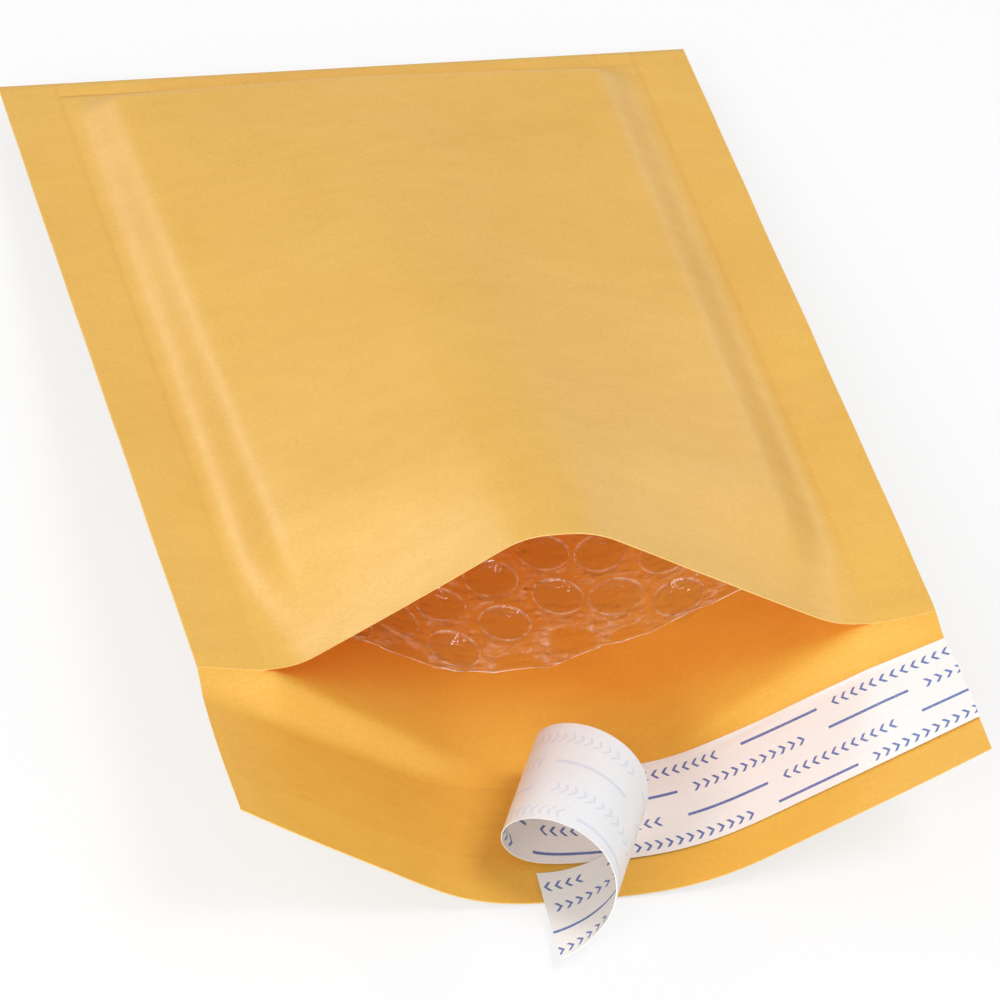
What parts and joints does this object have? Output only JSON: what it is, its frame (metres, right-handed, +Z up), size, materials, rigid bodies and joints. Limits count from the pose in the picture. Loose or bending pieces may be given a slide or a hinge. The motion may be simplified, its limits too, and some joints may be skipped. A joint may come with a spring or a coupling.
{
  "type": "padded envelope",
  "caption": "Open padded mailing envelope of kraft paper with a bubble film lining, a self-seal flap and a half peeled, curled release liner.",
  "frame": {"origin": "middle of the bounding box, on the table the envelope lies on", "axes": "+X across the envelope, +Y from the mouth to the closed end, +Z up"},
  "size_m": [0.1524, 0.2884, 0.0493],
  "materials": {
    "kraft_paper": "matte kraft, fine fibre grain",
    "clear_film": "clear glossy film",
    "adhesive": "clear tacky film",
    "liner_paper": "smooth release paper"
  },
  "bodies": {
    "root": {"kraft_envelope": "kraft_paper", "bubble_lining": "clear_film", "adhesive_strip": "adhesive", "release_liner": "liner_paper"}
  },
  "joints": []
}
